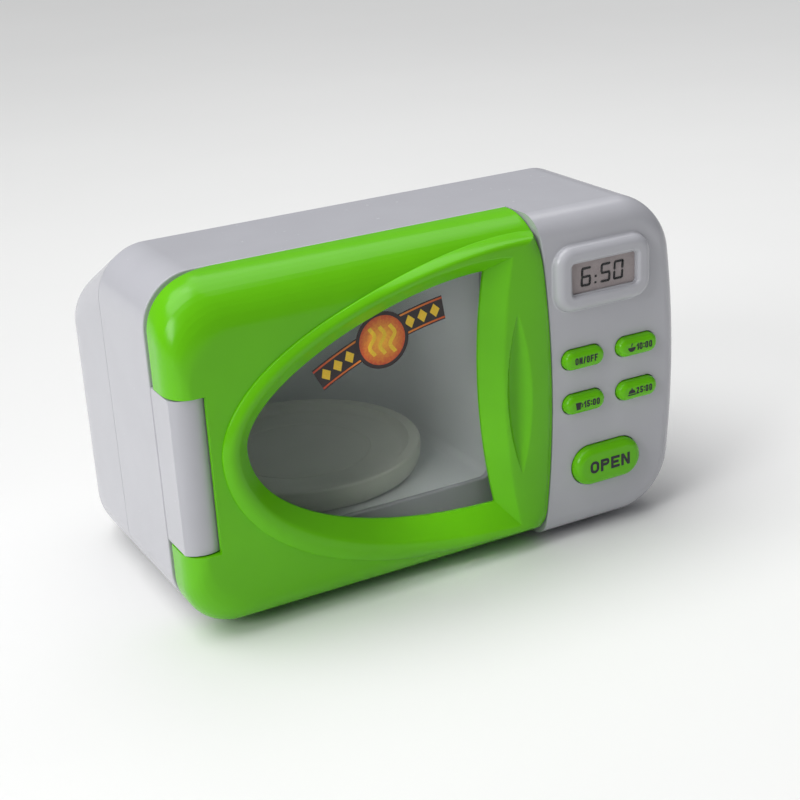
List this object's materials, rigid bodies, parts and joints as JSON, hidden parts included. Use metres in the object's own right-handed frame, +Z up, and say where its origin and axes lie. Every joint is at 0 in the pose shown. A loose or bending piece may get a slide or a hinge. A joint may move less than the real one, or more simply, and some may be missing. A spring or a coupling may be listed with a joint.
{
  "type": "toy microwave oven",
  "caption": "Toy microwave oven: a rounded white casing with a sculpted side-hinged door on a latch, a turntable, press buttons and a display window.",
  "frame": {"origin": "centre of the footprint of the whole toy, on the surface that the feet stand on", "axes": "+X to the right as the door is faced, +Y to the back, +Z up; the door and the panel face -Y"},
  "size_m": [0.246, 0.157, 0.155],
  "materials": {
    "white_shell": "smooth moulded, semi-gloss",
    "white_liner": "smooth moulded, satin",
    "lime_plastic": "smooth moulded, gloss",
    "clear_plastic": "clear, polished",
    "turntable_plastic": "moulded, satin",
    "display_card": "printed card",
    "dark_plastic": "fine texture",
    "nylon": "natural",
    "silicone": "matt",
    "circuit_board": "solder mask",
    "battery_cell": "printed wrap",
    "motor_can": "drawn can",
    "steel": "plated",
    "foot_rubber": "matt"
  },
  "bodies": {
    "casing": {"front_housing": "white_shell", "rear_housing": "white_shell", "oven_liner": "white_liner", "hinge_block": "white_shell", "hinge_pin": "steel", "latch_spring": "steel", "keypad_membrane": "silicone", "display_lens": "clear_plastic", "display_card": "display_card", "control_board": "circuit_board", "speaker": "dark_plastic", "battery_box": "dark_plastic", "battery_cell_1": "battery_cell", "battery_cell_2": "battery_cell", "battery_cell_3": "battery_cell", "battery_contact_lower": "steel", "battery_contact_upper": "steel", "battery_cover": "white_shell", "battery_cover_screw": "steel", "gearbox_case": "nylon", "drive_motor": "motor_can", "foot_front_left": "foot_rubber", "foot_front_right": "foot_rubber", "foot_back_left": "foot_rubber", "foot_back_right": "foot_rubber", "housing_screw_1": "steel", "housing_screw_2": "steel", "housing_screw_3": "steel", "housing_screw_4": "steel"},
    "door": {"door_frame": "lime_plastic", "door_window": "clear_plastic"},
    "turntable": {"turntable_plate": "turntable_plastic", "turntable_spindle": "nylon"},
    "on_off_key": {"on_off_button": "lime_plastic"},
    "timer_10_key": {"timer_button_10": "lime_plastic"},
    "timer_15_key": {"timer_button_15": "lime_plastic"},
    "timer_25_key": {"timer_button_25": "lime_plastic"},
    "open_key": {"open_button": "lime_plastic"},
    "latch": {"latch_slider": "nylon"}
  },
  "joints": [
    {"name": "door_swing", "type": "hinge", "parent": "casing", "child": "door", "pos_m": [-0.114, -0.061, 0.0757], "axis": [0, 0, -1], "range_deg": [0, 110]},
    {"name": "turntable_spin", "type": "hinge", "parent": "casing", "child": "turntable", "pos_m": [-0.033, 0.013, 0.03], "axis": [0, 0, 1], "continuous": true},
    {"name": "on_off_press", "type": "slide", "parent": "casing", "child": "on_off_key", "axis": [0, 1, 0], "range_m": [0, 0.002], "stiffness_N_per_m": 150, "springref_m": -0.001},
    {"name": "timer_10_press", "type": "slide", "parent": "casing", "child": "timer_10_key", "axis": [0, 1, 0], "range_m": [0, 0.002], "stiffness_N_per_m": 150, "springref_m": -0.001},
    {"name": "timer_15_press", "type": "slide", "parent": "casing", "child": "timer_15_key", "axis": [0, 1, 0], "range_m": [0, 0.002], "stiffness_N_per_m": 150, "springref_m": -0.001},
    {"name": "timer_25_press", "type": "slide", "parent": "casing", "child": "timer_25_key", "axis": [0, 1, 0], "range_m": [0, 0.002], "stiffness_N_per_m": 150, "springref_m": -0.001},
    {"name": "open_press", "type": "slide", "parent": "casing", "child": "open_key", "axis": [0, 1, 0], "range_m": [0, 0.003], "stiffness_N_per_m": 300, "springref_m": -0.001},
    {"name": "latch_shift", "type": "slide", "parent": "casing", "child": "latch", "axis": [1, 0, 0], "range_m": [0, 0.003], "deforming": ["latch_spring"]}
  ],
  "couplings": [
    {"joint": "latch_shift", "follows": "open_press", "ratio": 1}
  ]
}
